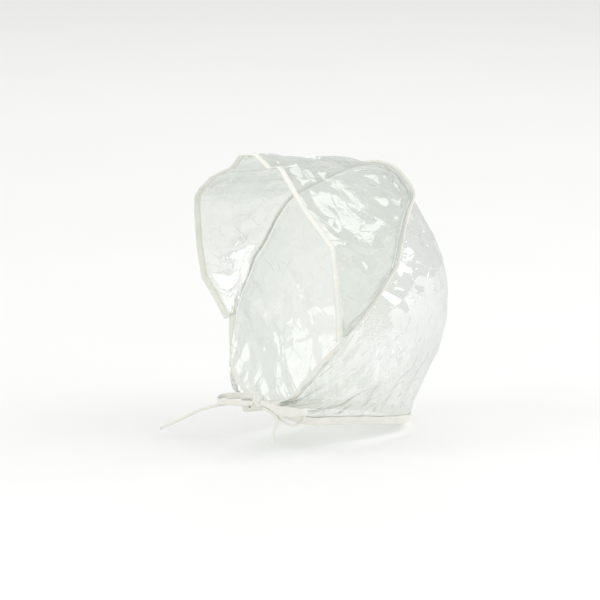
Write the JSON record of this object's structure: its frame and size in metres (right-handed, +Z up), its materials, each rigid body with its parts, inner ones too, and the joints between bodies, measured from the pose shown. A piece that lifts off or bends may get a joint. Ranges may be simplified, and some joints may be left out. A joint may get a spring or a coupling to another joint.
{
  "type": "rain bonnet",
  "caption": "Clear film rain bonnet as worn: visor panel and full hood joined by a taped seam, taped edges, tape ties in a bow under the chin.",
  "frame": {"origin": "where the underside of the crown rests on the top of the head", "axes": "+Z up, the face looks along -Y, the wearer's left is +X"},
  "size_m": [0.2093, 0.2622, 0.3041],
  "materials": {
    "clear_film": "glossy clear vinyl film, creased from folding",
    "binding_tape": "ivory white woven binding tape, folded over the edge and stitched"
  },
  "bodies": {
    "root": {"visor_panel": "clear_film", "hood_panel": "clear_film", "visor_binding": "binding_tape", "seam_binding": "binding_tape", "hem_binding": "binding_tape", "bow_knot": "binding_tape", "bow_loop_left": "binding_tape", "bow_loop_right": "binding_tape", "tie_end_left": "binding_tape", "tie_end_right": "binding_tape"}
  },
  "joints": []
}
